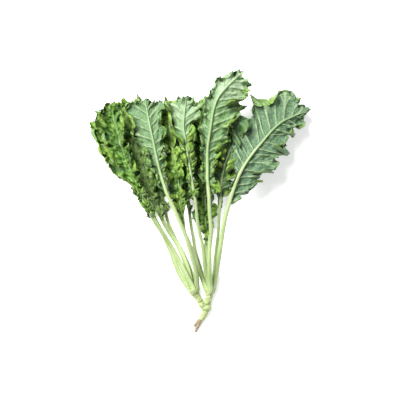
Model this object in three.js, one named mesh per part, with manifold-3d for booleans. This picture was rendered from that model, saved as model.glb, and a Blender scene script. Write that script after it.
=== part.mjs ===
// A bunch of curly kale, cut and laid flat on a table: a short forked stem, torn off at its foot,
// with twelve long-stalked leaves that fan out from it and lie on one another.
// Millimetres. +Z is up and +Y runs from the stem to the leaf tips. The origin is on the table,
// under the middle of the bunch.
//
// A leaf is two solids: the pale stalk, which runs on as the midrib, and the green blade, which lies
// along the stalk's flat side. A blade is ruled by its side veins. Each vein leaves the midrib
// forwards and bends up and down on its way out, in waves that grow towards the margin.

import * as THREE from "three";
import Module from "manifold-3d";

const wasm = await Module();
wasm.setup();

// Driving dimensions, in millimetres and degrees.
const BLADE_THICKNESS = 0.8;
const CLEARANCE = 0.3; // between a stalk and its own blade, or the stem
const REST_GAP = 0.7; // between a leaf and what it lies on
const STALK_TAPER = 0.68; // the share of its width that a stalk loses by the tip
const FOOT_SWEEP = 26; // how far a vein leans forwards at the foot of the blade
const SHOULDER_SWEEP = 46; // and where the blade starts to close in on its tip
const SHOULDER = 0.93;
const LONG_WAVE = 44; // from one wave of the margin to the next
const LONG_SWING = 36; // how far that wave bends a vein up or down
const SHORT_WAVE = 21;
const SHORT_SWING = 32;
const FOLD = 0.08; // how far a wave's crest leans over along the margin, in wavelengths
const SPREAD = 0.84; // how much of its length an average vein reaches outwards
const EVENNESS = 0.6; // how far every vein reaches out as much as that, whatever its bends
const LOBE_WAVE = 31;
const LOBE_DEPTH = 0.13; // the share of a vein's length that the margin's lobes add and take
const CURL_WAVE = 15; // the margin's smallest curls in the solids, each on a round lobe of its own
const CURL_SWING = 34; // how far a curl bends a vein's end up or down
const CURL_DEPTH = 0.16; // the share of a vein's length that the notches between curls take
const ROLL_START = 0.76; // where along a vein the margin starts to roll up, in some stretches
const ROLL_RADIUS = 2.2;
const ROW_PITCH = 10.5; // between the net's rows along the midrib, and half that between a stalk's rings

// Leaves from the bottom of the pile to its top. root is the height at which the stalk leaves the
// stem, width the stalk's width there, and blade the length of the midrib that carries the blade.
// left and right are the lengths of the side veins at even steps from the foot of the blade to its
// tip. cup is how far the two halves fold away from the stalk, frill scales the waves and phase
// shifts them along the margin. underside says that the leaf lies with its underside, and so its
// stalk, uppermost.
const LEAVES = [
  {
    name: "leaf_09", root: 3.5, width: 5, blade: 204, cup: 10, frill: 0.9, phase: 2.4, underside: false,
    left: [5, 18, 25, 27, 29, 5], right: [5, 18, 26, 29, 30, 5],
    route: [
      [13, -123], [10.4, -97], [8, -71], [8, -48], [6, -24], [6, 1], [6, 27], [6, 50], [5, 74], [4, 99],
      [1, 121], [-2, 144],
    ],
  },
  {
    name: "leaf_01", root: 3.9, width: 6, blade: 182, cup: 14, frill: 1, phase: 4.8, underside: false,
    left: [12, 4, 7, 25, 34, 6], right: [4, 8, 24, 34, 38, 5],
    route: [
      [-14.6, -125], [-29, -104], [-44, -67], [-59, -35], [-76, -7], [-94, 20], [-111, 43], [-124, 69],
      [-131, 94], [-137, 126],
    ],
  },
  {
    name: "leaf_04", root: 3.6, width: 5, blade: 174, cup: 10, frill: 0.9, phase: 0.9, underside: false,
    left: [6, 13, 22, 28, 28, 6], right: [6, 10, 18, 24, 26, 5],
    route: [
      [-8, -124], [-13, -101], [-23, -77], [-36, -52], [-46, -28], [-52, -3], [-59, 22], [-68, 50],
      [-76, 78], [-83, 108], [-87, 132], [-88, 151],
    ],
  },
  {
    name: "leaf_07", root: 3.4, width: 4.6, blade: 161, cup: 12, frill: 0.9, phase: 3.3, underside: false,
    left: [4, 14, 20, 24, 30, 6], right: [4, 14, 20, 24, 28, 6],
    route: [
      [7.6, -123], [0.8, -97], [-7, -71], [-10, -52], [-13, -34], [-16, -10], [-20, 13], [-24, 36],
      [-29, 60], [-33, 85], [-34, 112], [-33, 142],
    ],
  },
  {
    name: "leaf_11", root: 3.4, width: 4.8, blade: 136, cup: 12, frill: 0.9, phase: 5.7, underside: true,
    left: [4, 16, 24, 27, 26, 5], right: [5, 14, 24, 26, 23, 5],
    route: [
      [18, -123], [20.4, -94], [23, -66], [26, -38], [27, -13], [29, 8], [30, 29], [34, 50], [41, 69],
      [48, 85], [54, 99], [61, 119],
    ],
  },
  {
    name: "leaf_03", root: 9.8, width: 6.4, blade: 177, cup: 12, frill: 1, phase: 1.8, underside: false,
    left: [5, 11, 24, 33, 38, 6], right: [9, 7, 20, 28, 36, 6],
    route: [
      [-12.2, -124], [-18.4, -94], [-31, -63], [-47, -38], [-58, -17], [-66, 4], [-75, 28], [-83, 53],
      [-90, 77], [-99, 104], [-104, 124], [-109, 143],
    ],
  },
  {
    name: "leaf_06", root: 9, width: 4.8, blade: 183, cup: 10, frill: 0.85, phase: 4.2, underside: false,
    left: [7, 20, 24, 20, 26, 5], right: [4, 11, 17, 18, 26, 5],
    route: [
      [7.4, -123], [-1, -99], [-8, -77], [-15, -59], [-22, -41], [-24, -24], [-27, -6], [-30, 15],
      [-33, 41], [-37, 64], [-41, 90], [-44, 114], [-48, 145],
    ],
  },
  {
    name: "leaf_12", root: 8.8, width: 6.4, blade: 178, cup: 9, frill: 0.62, phase: 0.3, underside: true,
    left: [3, 8, 56, 66, 50, 11], right: [22, 42, 50, 44, 27, 11],
    route: [
      [18.6, -123], [23, -97], [27.4, -69], [31.4, -43], [35.4, -21], [41, 0], [47.4, 20], [55, 39],
      [65, 56], [76, 71], [88, 85], [100, 99], [114, 111], [130, 119], [147, 126],
    ],
  },
  {
    name: "leaf_02", root: 15.8, width: 6.6, blade: 168, cup: 12, frill: 1, phase: 2.7, underside: false,
    left: [9, 7, 22, 32, 38, 6], right: [4, 8, 14, 18, 22, 5],
    route: [
      [-11.4, -122.5], [-29, -86], [-48, -52], [-65, -25], [-76, -3], [-88, 21], [-97, 43], [-107, 69],
      [-114, 95], [-120, 116], [-125, 136],
    ],
  },
  {
    name: "leaf_08", root: 7.2, width: 5, blade: 168, cup: 12, frill: 0.75, phase: 5.1, underside: true,
    left: [3, 5, 7, 12, 36, 8], right: [3, 6, 9, 16, 36, 8],
    route: [
      [12.6, -123], [9, -104], [6, -85], [4, -66], [-1, -43], [-4, -27], [-6, -6], [-9, 15], [-12, 32],
      [-15, 50], [-18, 69], [-20, 85], [-23, 102], [-22, 119], [-19, 145],
    ],
  },
  {
    name: "leaf_05", root: 8, width: 6.2, blade: 141, cup: 10, frill: 0.6, phase: 1.2, underside: true,
    left: [4, 7, 15, 36, 42, 6], right: [3, 6, 12, 27, 34, 6],
    route: [
      [-5, -124], [-5.8, -99], [-12, -76], [-20, -48], [-29, -27], [-37, -8], [-46, 11], [-52, 29],
      [-57, 46], [-61, 64], [-65, 84], [-69, 102], [-73, 122], [-76, 141],
    ],
  },
  {
    name: "leaf_10", root: 14.2, width: 5.8, blade: 192, cup: 14, frill: 0.75, phase: 3.6, underside: true,
    left: [4, 12, 19, 21, 23, 9], right: [5, 17, 36, 56, 42, 7],
    route: [
      [14, -123], [13, -97], [13, -69], [15, -41], [13, -15], [12, 8], [10, 29], [10, 50], [10, 71],
      [12, 88], [15, 106], [18, 125], [24, 142], [34, 155], [46, 167], [59, 179],
    ],
  },
];

// The forked stem: each limb's route, with half the stem's width and height at each point. The limbs
// swell where they end, in the nodes that the stalks grow from.
const STEM_LIMBS = [
  [
    [0.5, -168, 5, 3.8, 3.8], [3.5, -163.8, 5.2, 4.3, 4.3], [7, -156.8, 6, 4.9, 4.8],
    [8.8, -151, 6.2, 5.8, 5.4], [10.5, -144, 6.6, 4.9, 5], [12, -137, 7.2, 4.8, 5.6],
    [13, -130, 8.2, 6.2, 7.4], [13.4, -124, 8.9, 7.4, 8.8], [13.4, -120.4, 9, 6.8, 8.2],
  ],
  [
    [7, -153, 6.2, 5, 5], [3.4, -147.5, 6.2, 4.9, 5], [0, -141.5, 6.4, 4.6, 5], [-4.4, -135, 7.2, 4.8, 5.6],
    [-8.2, -129, 8.4, 6.6, 7.4], [-10.2, -124, 9.2, 7.8, 9], [-10.6, -120.4, 9.3, 7.2, 8.4],
  ],
];
// Where earlier leaves and side shoots have left a swollen scar: place and radius.
const STEM_KNUCKLES = [[2.2, -146, 6.2, 5.6], [9.6, -150.5, 6.4, 6.2]];
const SOCKET_DEPTH = 12; // longer than the swollen nodes reach beyond the stalks' roots
const LIMB_SIDES = 10;
const LIMB_RINGS = 12;
const SPLINTER_SIDES = 8;
const SPLINTER_RINGS = 4;
// The torn foot of the stem, in two splinters, with half their width and height.
const SPLINTERS = [
  [[0.1, -168.4, 5, 3.5, 3.5], [-3.6, -176.5, 4.4, 2.7, 2.4], [-7.6, -185.2, 3.4, 1.8, 1.5]],
  [[-0.6, -168.6, 5, 3.2, 3.2], [-5.2, -172.4, 5.2, 2.3, 2], [-9.6, -177.2, 5.4, 1.5, 1.3]],
];

const up = new THREE.Vector3(0, 0, 1);
const smooth = THREE.MathUtils.smoothstep;
const wave = (distance, wavelength, phase) => Math.sin((2 * Math.PI * distance) / wavelength + phase);

// A smooth curve through a leaf's route in plan, and its length.
function planOf(leaf) {
  const points = leaf.route.map(([x, y]) => new THREE.Vector3(x, y, 0));
  const curve = new THREE.CatmullRomCurve3(points, false, "centripetal");
  return { curve, length: curve.getLength() };
}

// Where a leaf's midrib is at a distance from the stem, and which ways are along it and to its left.
function stationOf(plan, distance) {
  const share = THREE.MathUtils.clamp(distance / plan.length, 0, 1);
  const along = plan.curve.getTangentAt(share);
  return { at: plan.curve.getPointAt(share), along, left: new THREE.Vector3(-along.y, along.x, 0) };
}

const stalkWidth = (leaf, share) => leaf.width * (1 - STALK_TAPER * share);

// Distances along a leaf: of the blade's rows from its foot, and of the stalk's rings, which fall on
// every second row and end one row short of the tip, where the midrib fades out.
function rowStations(leaf, plan) {
  const rows = 2 * Math.round(leaf.blade / (2 * ROW_PITCH));
  return Array.from({ length: rows + 1 }, (_, k) => plan.length - leaf.blade * (1 - k / rows));
}

function ringStations(leaf, plan) {
  const rows = rowStations(leaf, plan);
  const bare = Math.round(rows[0] / (2 * ROW_PITCH));
  const petiole = Array.from({ length: bare }, (_, k) => (rows[0] * k) / bare);
  return [...petiole, ...rows.filter((_, k) => k % 2 === 0 && k < rows.length - 1), rows[rows.length - 2]];
}

// The length of a side vein before the margin's lobes, from six lengths at even steps.
function plainLength(leaf, share, side) {
  const lengths = side > 0 ? leaf.left : leaf.right;
  const place = share * (lengths.length - 1);
  const step = Math.min(Math.floor(place), lengths.length - 2);
  return THREE.MathUtils.lerp(lengths[step], lengths[step + 1], smooth(place - step, 0, 1));
}

const MEAN_ROUND = 0.78; // the mean of a curl's outline, which is 0 in the notches and 1 between them

// Where a place on the margin is within its curl: 0 and 2 pi are the notches to both sides of it.
// Curls differ in width.
function curlAngle(leaf, margin) {
  const uneven = margin + CURL_WAVE * (0.18 * wave(margin, 2.5 * CURL_WAVE, 1.3 * leaf.phase)
    + 0.12 * wave(margin, 1.6 * CURL_WAVE, 2.9 * leaf.phase));
  return (2 * Math.PI * uneven) / CURL_WAVE + leaf.phase * 3.1;
}

// The full length of a side vein: lobes lengthen and shorten it, and each curl rounds its end off.
function veinLength(leaf, share, side) {
  const margin = side * (1 - share) * leaf.blade;
  const lobes = LOBE_DEPTH * wave(margin, LOBE_WAVE, leaf.phase * 1.7);
  const round = Math.sqrt(1 - Math.cos(curlAngle(leaf, margin) / 2) ** 4);
  return plainLength(leaf, share, side) * (1 + lobes + CURL_DEPTH * (round - MEAN_ROUND));
}

// How far the margin is rolled up here, from 0 to 1. It is rolled in some stretches only, in more of
// them where the leaf lies with its underside up.
function rollOf(leaf, share, side) {
  const margin = side * (1 - share) * leaf.blade;
  const place = 0.6 * wave(margin, 47, 1.9 * leaf.phase) + 0.4 * wave(margin, 29, 0.8 * leaf.phase);
  const stretch = leaf.underside ? smooth(place, -0.35, 0.15) : smooth(place, 0.1, 0.6);
  return stretch * smooth(share, 0.05, 0.2) * smooth(1 - share, 0.02, 0.1);
}

// How far a vein leans forwards: more and more, until the last one runs straight on from the midrib.
function sweepOf(share) {
  const degrees = share < SHOULDER
    ? THREE.MathUtils.lerp(FOOT_SWEEP, SHOULDER_SWEEP, share / SHOULDER)
    : THREE.MathUtils.lerp(SHOULDER_SWEEP, 90, (share - SHOULDER) / (1 - SHOULDER));
  return THREE.MathUtils.degToRad(degrees);
}

// A point of the blade from its midrib: along it, to its left, and up. share runs from the foot of
// the blade to its tip, and reach from the midrib to the margin.
function bladeOffset(leaf, share, side, reach) {
  const steps = 24;
  const margin = side * (1 - share) * leaf.blade;
  const long = wave(margin, LONG_WAVE, leaf.phase);
  const short = wave(margin, SHORT_WAVE, leaf.phase * 2.3);
  const plain = Math.max(plainLength(leaf, share, side), 4);
  const strength = 0.9 + 0.4 * wave(margin, 61, 0.7 * leaf.phase);
  const curl = -strength * Math.cos(curlAngle(leaf, margin));
  const curlStart = Math.max(1 - (1.3 * CURL_WAVE) / plain, 0.02);
  const curlFull = Math.max(1 - (0.5 * CURL_WAVE) / plain, 0.4);
  let out = 0;
  let rise = 0;
  for (let i = 0; i < steps; i++) {
    const q = ((i + 0.5) / steps) * reach;
    const bend = (leaf.underside ? -leaf.cup : leaf.cup)
      + leaf.frill * LONG_SWING * smooth(q, 0.1, 0.9) * long
      + leaf.frill * SHORT_SWING * smooth(q, 0.5, 1) * short
      + leaf.frill * CURL_SWING * smooth(q, curlStart, curlFull) * curl;
    out += Math.cos(THREE.MathUtils.degToRad(bend)) / steps;
    rise += Math.sin(THREE.MathUtils.degToRad(bend)) / steps;
  }
  const roll = rollOf(leaf, share, side);
  const full = veinLength(leaf, share, side) * (1 + (1 - ROLL_START) * roll);
  const length = reach * full;
  const rolled = Math.max(reach - ROLL_START, 0) * full;
  const turn = Math.min(rolled / ROLL_RADIUS, Math.PI);
  out = THREE.MathUtils.lerp(out, SPREAD, EVENNESS) * length;
  out -= roll * (rolled * SPREAD - ROLL_RADIUS * Math.sin(turn));
  rise = rise * length + roll * ROLL_RADIUS * (1 - Math.cos(turn));
  const turned = wave(2 * margin, LONG_WAVE, 2 * leaf.phase);
  const lean = leaf.frill * FOLD * LONG_WAVE * smooth(reach, 0.3, 1) * turned;
  const sweep = sweepOf(share);
  return [out * Math.sin(sweep) + lean, side * out * Math.cos(sweep), rise];
}

// The blade's middle surface as a net: columns from the left margin over the midrib to the right
// one, each with its side, its reach and how many rows it has for each row of the midrib. The left
// and right halves share the last row.
const LEFT_COLUMNS = [[1, 1, 4], [1, 0.8, 2], [1, 0.55, 1], [1, 0.3, 1]];
const RIGHT_COLUMNS = LEFT_COLUMNS.map(([, reach, fineness]) => [-1, reach, fineness]).reverse();
const COLUMNS = [...LEFT_COLUMNS, [0, 0, 1], ...RIGHT_COLUMNS];

function bladeNet(leaf, plan) {
  const rows = rowStations(leaf, plan).length - 1;
  const vertices = [];
  const stations = [];
  const columns = COLUMNS.map(([side, reach, fineness]) => {
    const ids = [];
    for (let k = 0; k <= rows * fineness; k++) {
      const share = k / (rows * fineness);
      const distance = plan.length - leaf.blade * (1 - share);
      const { at, along, left } = stationOf(plan, distance);
      const [forward, aside, rise] = bladeOffset(leaf, share, side || 1, reach);
      const beside = Math.min(distance + forward, plan.length);
      const height = rise + seatOf(leaf, beside / plan.length);
      at.addScaledVector(along, forward).addScaledVector(left, aside).addScaledVector(up, height);
      vertices.push(at);
      stations.push(beside);
      ids.push(vertices.length - 1);
    }
    return ids;
  });
  const middle = (columns.length - 1) / 2;
  for (let c = middle + 1; c < columns.length; c++) {
    const twin = columns[columns.length - 1 - c];
    columns[c][columns[c].length - 1] = twin[twin.length - 1];
  }
  return { vertices, stations, triangles: netTriangles(columns) };
}

// The height of the blade at its midrib, against the stalk's flat side.
function seatOf(leaf, share) {
  const depth = stalkRadius(leaf, share) / 2 + 2 * CLEARANCE + BLADE_THICKNESS / 2;
  return leaf.underside ? -depth : depth;
}

// Two triangles between each two rows of neighbouring columns, or three where one of the columns
// has twice the rows.
function netTriangles(columns) {
  const triangles = [];
  for (let c = 0; c + 1 < columns.length; c++) {
    const [l, r] = [columns[c], columns[c + 1]];
    for (let k = 0; k < Math.min(l.length, r.length) - 1; k++) {
      const fine = 2 * k;
      if (l.length > r.length) {
        triangles.push([l[fine], r[k], l[fine + 1]], [l[fine + 1], r[k], r[k + 1]]);
        triangles.push([l[fine + 1], r[k + 1], l[fine + 2]]);
      } else if (l.length < r.length) {
        triangles.push([l[k], r[fine], r[fine + 1]], [l[k], r[fine + 1], l[k + 1]]);
        triangles.push([l[k + 1], r[fine + 1], r[fine + 2]]);
      } else {
        triangles.push([l[k], r[k], r[k + 1]], [l[k], r[k + 1], l[k + 1]]);
      }
    }
  }
  return triangles;
}

// A net made a thin closed solid: the same triangles above and below, and a rim between them.
function thicken({ vertices, triangles }, thickness) {
  const sheet = new THREE.BufferGeometry().setFromPoints(vertices);
  sheet.setIndex(triangles.flat());
  sheet.computeVertexNormals();
  const normal = new THREE.Vector3();
  const faces = [1, -1].map((way) => vertices.map((v, i) => {
    normal.fromBufferAttribute(sheet.attributes.normal, i);
    return v.clone().addScaledVector(normal, (way * thickness) / 2);
  }));
  const below = vertices.length;
  const edges = new Set();
  triangles.forEach((t) => t.forEach((a, i) => edges.add(`${a},${t[(i + 1) % 3]}`)));
  const rim = [...edges].map((e) => e.split(",").map(Number)).filter(([a, b]) => !edges.has(`${b},${a}`));
  const index = [
    ...triangles,
    ...triangles.map(([a, b, c]) => [a + below, c + below, b + below]),
    ...rim.flatMap(([a, b]) => [[b, a, a + below], [b, a + below, b + below]]),
  ];
  return new THREE.BufferGeometry().setFromPoints(faces.flat()).setIndex(index.flat());
}

// A stalk's section has six sides, one half of them pressed flat: the side that carries the blade.
const STALK_SIDES = 6;
const HALF_WIDTH_SHARE = Math.sin(Math.PI / 3);
const stalkRadius = (leaf, share) => stalkWidth(leaf, share) / 2 / HALF_WIDTH_SHARE;

// A straight six-sided rod bent along a leaf's route, with a ring at each of the distances. lift is
// the height of its middle at a distance, and spread makes it that much thicker, for a socket.
function stalkSolid(leaf, plan, lift, rings, spread = 0) {
  const rod = new THREE.CylinderGeometry(1, 1, 1, STALK_SIDES, rings.length - 1);
  const place = rod.attributes.position;
  const point = new THREE.Vector3();
  for (let i = 0; i < place.count; i++) {
    point.fromBufferAttribute(place, i);
    const distance = rings[Math.round((0.5 - point.y) * (rings.length - 1))];
    const { at, along, left } = stationOf(plan, distance);
    const radius = stalkRadius(leaf, distance / plan.length);
    const turned = leaf.underside ? point.z : -point.z;
    const height = (leaf.underside ? 1 : -1) * Math.max(turned, -0.5);
    const back = distance === 0 ? 2 * spread : 0;
    const slope = lift(1) - lift(0);
    at.addScaledVector(left, point.x * (radius + spread)).addScaledVector(along, -back);
    at.addScaledVector(up, height * (radius + 2 * spread) + lift(distance) - back * slope);
    place.setXYZ(i, at.x, at.y, at.z);
  }
  return asSolid(rod);
}

// An oval rod bent along a route whose points also hold half its width and height, made that much
// fatter by spread.
function limbSolid(points, sides, rings, spread = 0) {
  const middles = points.map(([x, y, z]) => new THREE.Vector3(x, y, z));
  const curve = new THREE.CatmullRomCurve3(middles, false, "centripetal");
  const rod = new THREE.CylinderGeometry(1, 1, 1, sides, rings);
  const place = rod.attributes.position;
  const point = new THREE.Vector3();
  for (let i = 0; i < place.count; i++) {
    point.fromBufferAttribute(place, i);
    const share = 0.5 - point.y;
    const knot = share * (points.length - 1);
    const step = Math.min(Math.floor(knot), points.length - 2);
    const ease = smooth(knot - step, 0, 1);
    const sizeAt = (n) => spread + THREE.MathUtils.lerp(points[step][n], points[step + 1][n], ease);
    const along = curve.getTangent(share);
    const left = new THREE.Vector3(-along.y, along.x, 0).normalize();
    const across = new THREE.Vector3().crossVectors(along, left);
    const at = curve.getPoint(share);
    at.addScaledVector(left, point.x * sizeAt(3)).addScaledVector(across, point.z * sizeAt(4));
    place.setXYZ(i, at.x, at.y, at.z);
  }
  return asSolid(rod);
}

function knuckleSolid([x, y, z, radius]) {
  return asSolid(new THREE.IcosahedronGeometry(radius, 1).translate(x, y, z));
}

// A closed geometry as a solid that can be joined and cut, and back again.
function asSolid(geometry) {
  const corners = new Map();
  const vertProperties = [];
  const place = geometry.attributes.position;
  const source = geometry.index ? Array.from(geometry.index.array) : [...Array(place.count).keys()];
  const index = source.map((i) => {
    const corner = [place.getX(i), place.getY(i), place.getZ(i)];
    const key = corner.map((v) => v.toFixed(4)).join();
    if (!corners.has(key)) {
      corners.set(key, corners.size);
      vertProperties.push(...corner);
    }
    return corners.get(key);
  });
  const triVerts = [];
  for (let i = 0; i < index.length; i += 3) {
    const [a, b, c] = index.slice(i, i + 3);
    if (a !== b && b !== c && c !== a) triVerts.push(a, b, c);
  }
  return new wasm.Manifold(new wasm.Mesh({
    numProp: 3,
    vertProperties: new Float32Array(vertProperties),
    triVerts: new Uint32Array(triVerts),
  }));
}

function asGeometry(solid) {
  const mesh = solid.getMesh();
  return new THREE.BufferGeometry()
    .setAttribute("position", new THREE.BufferAttribute(mesh.vertProperties, 3))
    .setIndex(new THREE.BufferAttribute(mesh.triVerts, 1));
}

// The pile's skyline: how high the leaves laid so far reach over each cell of the table.
const CELL = 2;
const skyline = new Map();
const cellOf = (x, y) => `${Math.round(x / CELL)},${Math.round(y / CELL)}`;
const skylineAt = (x, y) => skyline.get(cellOf(x, y)) ?? -REST_GAP;
const HALF_DEPTH = 0.8; // half a blade's depth, measured straight up where it is steep

// Every place that a leaf covers, in plan, with its distance along the stalk and its lowest and
// highest point over its midrib.
function* footprint(leaf, plan, net) {
  for (let distance = 0; distance <= plan.length - ROW_PITCH; distance += 1) {
    const { at, left } = stationOf(plan, distance);
    const radius = stalkRadius(leaf, distance / plan.length);
    for (let side = -1; side <= 1; side += 0.25) {
      const spot = at.clone().addScaledVector(left, side * (radius + CELL / 2));
      const [low, high] = leaf.underside ? [-radius / 2, radius] : [-radius, radius / 2];
      yield { x: spot.x, y: spot.y, distance, low, high };
    }
  }
  for (const [a, b, c] of net.triangles) {
    const [p, q, r] = [a, b, c].map((n) => net.vertices[n]);
    const longest = Math.max(p.distanceTo(q), q.distanceTo(r), r.distanceTo(p));
    const pieces = Math.ceil(longest / CELL) + 1;
    for (let i = 0; i <= pieces; i++) {
      for (let j = 0; j <= pieces - i; j++) {
        const [u, v] = [i / pieces, j / pieces];
        const mix = (forP, forQ, forR) => forP * u + forQ * v + forR * (1 - u - v);
        const height = mix(p.z, q.z, r.z);
        yield {
          x: mix(p.x, q.x, r.x),
          y: mix(p.y, q.y, r.y),
          distance: mix(net.stations[a], net.stations[b], net.stations[c]),
          low: height - HALF_DEPTH,
          high: height + HALF_DEPTH,
        };
      }
    }
  }
}

// A leaf lowered on to the pile: the height of its midrib all along, which is smooth, clears all
// that lies below any part of it, and starts where the stalk leaves the stem. It runs straight
// between the stalk's rings, so that the blade and the stalk bend at the same places.
const EASE = 14; // how far to each side a height is spread, so that the midrib bends gently
const STEEPEST = 0.42; // a stalk is too stiff to climb or fall faster than this
const ROOT_EASE = 34; // over this length the stalk leaves the height at which it grows

function restOn(leaf, plan, net, rings) {
  const count = Math.ceil(plan.length) + 1;
  let heights = new Array(count).fill(0);
  for (const { x, y, distance, low } of footprint(leaf, plan, net)) {
    const i = Math.round(distance);
    heights[i] = Math.max(heights[i], skylineAt(x, y) + REST_GAP - low);
  }
  for (let i = 1; i < count; i++) heights[i] = Math.max(heights[i], heights[i - 1] - STEEPEST);
  for (let i = count - 2; i >= 0; i--) heights[i] = Math.max(heights[i], heights[i + 1] - STEEPEST);
  const around = (i) => heights.slice(Math.max(0, i - EASE), i + EASE + 1);
  for (let pass = 0; pass < 2; pass++) {
    heights = heights.map((_, i) => Math.max(...around(i)));
    heights = heights.map((_, i) => around(i).reduce((a, b) => a + b, 0) / around(i).length);
  }
  const free = heights.map((h, d) => THREE.MathUtils.lerp(leaf.root, h, smooth(d, 0, ROOT_EASE)));
  const atRings = rings.map((d) => free[Math.round(d)]);
  return (distance) => {
    const next = rings.findIndex((d) => d > distance);
    if (next < 0) return atRings[rings.length - 1];
    const part = (distance - rings[next - 1]) / (rings[next] - rings[next - 1]);
    return THREE.MathUtils.lerp(atRings[next - 1], atRings[next], part);
  };
}

const FINISHES = {
  upperside: { color: 0x5f8f3c, roughness: 0.6 },
  underside: { color: 0x8fb284, roughness: 0.7 },
  stalk: { color: 0xb9d08c, roughness: 0.45 },
  stem: { color: 0xc0cf88, roughness: 0.5 },
  torn: { color: 0xbfae86, roughness: 0.85 },
};

const bunch = new THREE.Group();
function add(name, geometry, finish) {
  const mesh = new THREE.Mesh(geometry, new THREE.MeshStandardMaterial({ ...finish, metalness: 0 }));
  mesh.name = name;
  bunch.add(mesh);
}

// Leaves, from the bottom up, each resting on those before it.
const sockets = [];
LEAVES.forEach((leaf) => {
  const plan = planOf(leaf);
  const net = bladeNet(leaf, plan);
  const rings = ringStations(leaf, plan);
  const lift = restOn(leaf, plan, net, rings);
  for (const { x, y, distance, high } of footprint(leaf, plan, net)) {
    skyline.set(cellOf(x, y), Math.max(skylineAt(x, y), high + lift(distance)));
  }
  net.vertices.forEach((v, n) => v.addScaledVector(up, lift(net.stations[n])));
  const face = leaf.underside ? FINISHES.underside : FINISHES.upperside;
  add(`${leaf.name}_stalk`, asGeometry(stalkSolid(leaf, plan, lift, rings)), FINISHES.stalk);
  add(`${leaf.name}_blade`, thicken(net, BLADE_THICKNESS), face);
  sockets.push(stalkSolid(leaf, plan, lift, [0, SOCKET_DEPTH], CLEARANCE));
});

// The stem, with a socket for each stalk's root, and its torn foot.
const { union } = wasm.Manifold;
const limbs = STEM_LIMBS.map((limb) => limbSolid(limb, LIMB_SIDES, LIMB_RINGS));
const stem = union([...limbs, ...STEM_KNUCKLES.map(knuckleSolid)]).subtract(union(sockets));
add("stem", asGeometry(stem), FINISHES.stem);
const stump = limbSolid(STEM_LIMBS[0], LIMB_SIDES, LIMB_RINGS, CLEARANCE);
const splinters = SPLINTERS.map((splinter) => limbSolid(splinter, SPLINTER_SIDES, SPLINTER_RINGS));
add("torn_foot", asGeometry(union(splinters).subtract(stump)), FINISHES.torn);

// The origin goes on the table, under the middle of the bunch.
const box = new THREE.Box3().setFromObject(bunch);
const middle = box.getCenter(new THREE.Vector3());
bunch.position.set(-middle.x, -middle.y, -box.min.z);

export default bunch;
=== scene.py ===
# %% [markdown]
# # A bunch of curly kale
# The bunch lies flat on a table: a short forked stem with a torn foot, and twelve long-stalked leaves that
# fan out over one another. model.glb holds it as plain solids at real size. Here each solid is
# replaced by a finer piece of the same form: blades with curls, puckers and veins, stalks with grooves, and
# a stem with scars and fibres. Blender works in metres, and the bunch runs along +Y with +Z up.

# %% Load the bunch
import math

import bpy
import numpy as np
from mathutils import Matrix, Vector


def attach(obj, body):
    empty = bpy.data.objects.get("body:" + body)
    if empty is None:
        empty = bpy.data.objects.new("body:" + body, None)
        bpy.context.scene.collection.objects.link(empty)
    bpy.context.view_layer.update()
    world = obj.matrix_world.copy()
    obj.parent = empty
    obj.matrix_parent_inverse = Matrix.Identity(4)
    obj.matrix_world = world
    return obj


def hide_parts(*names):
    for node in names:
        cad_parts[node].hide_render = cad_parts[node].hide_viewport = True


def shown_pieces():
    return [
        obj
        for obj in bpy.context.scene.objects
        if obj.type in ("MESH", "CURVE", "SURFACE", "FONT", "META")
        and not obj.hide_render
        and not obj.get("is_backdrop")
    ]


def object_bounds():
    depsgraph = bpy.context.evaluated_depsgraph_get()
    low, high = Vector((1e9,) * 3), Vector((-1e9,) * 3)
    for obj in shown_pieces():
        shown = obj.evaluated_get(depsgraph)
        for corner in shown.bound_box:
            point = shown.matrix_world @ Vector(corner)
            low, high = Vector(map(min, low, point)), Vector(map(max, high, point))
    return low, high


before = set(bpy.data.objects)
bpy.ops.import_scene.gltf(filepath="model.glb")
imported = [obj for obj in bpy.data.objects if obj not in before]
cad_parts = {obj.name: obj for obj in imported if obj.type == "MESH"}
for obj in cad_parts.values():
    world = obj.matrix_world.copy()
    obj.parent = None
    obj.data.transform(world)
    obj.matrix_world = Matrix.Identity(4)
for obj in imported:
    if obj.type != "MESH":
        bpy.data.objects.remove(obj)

cad_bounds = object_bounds()
print("solids:", len(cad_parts), "box:", [round(v, 4) for v in cad_bounds[1] - cad_bounds[0]])

# %% [markdown]
# ## Camera, table and light
# The photo looks straight down on a white table in soft, even light. A long lens flattens the view as a
# camera held high above a table does, so the camera hangs 2.1 m over the leaves with a 135 mm lens. Its
# place could be found by trial, but the real width of the view gives it: 560 mm at the height of the leaves.

# %% Camera, table and light
MM = 0.001
VIEW_WIDTH = 560 * MM
LENS = 135
LEAF_HEIGHT = 35 * MM
VIEW_CENTRE = (-0.3 * MM, 2.0 * MM)


def deselect():
    bpy.ops.object.select_all(action="DESELECT")


deselect()
camera_height = VIEW_WIDTH * LENS / 36 + LEAF_HEIGHT
bpy.ops.object.camera_add(location=(*VIEW_CENTRE, camera_height), rotation=(0, 0, 0))
camera = bpy.context.object
camera.data.lens = LENS
camera.data.clip_end = 50
bpy.context.scene.camera = camera
bpy.context.scene.view_settings.view_transform = "Standard"

deselect()
bpy.ops.mesh.primitive_plane_add(size=12)
table = bpy.context.object
table.name = "table"
table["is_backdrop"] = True

deselect()
bpy.ops.object.light_add(type="AREA", location=(-0.98, 1.06, 2.12))
window = bpy.context.object
window.name = "window"
window.data.shape = "DISK"
window.data.size = 1.4
window.data.energy = 162
window.rotation_euler = window.location.to_track_quat("Z", "Y").to_euler()

sky = bpy.data.worlds.new("soft sky")
sky.use_nodes = True
sky.node_tree.nodes["Background"].inputs["Color"].default_value = (1, 1, 1, 1)
sky.node_tree.nodes["Background"].inputs["Strength"].default_value = 0.36
bpy.context.scene.world = sky
print("camera height:", round(camera_height, 3))

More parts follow.
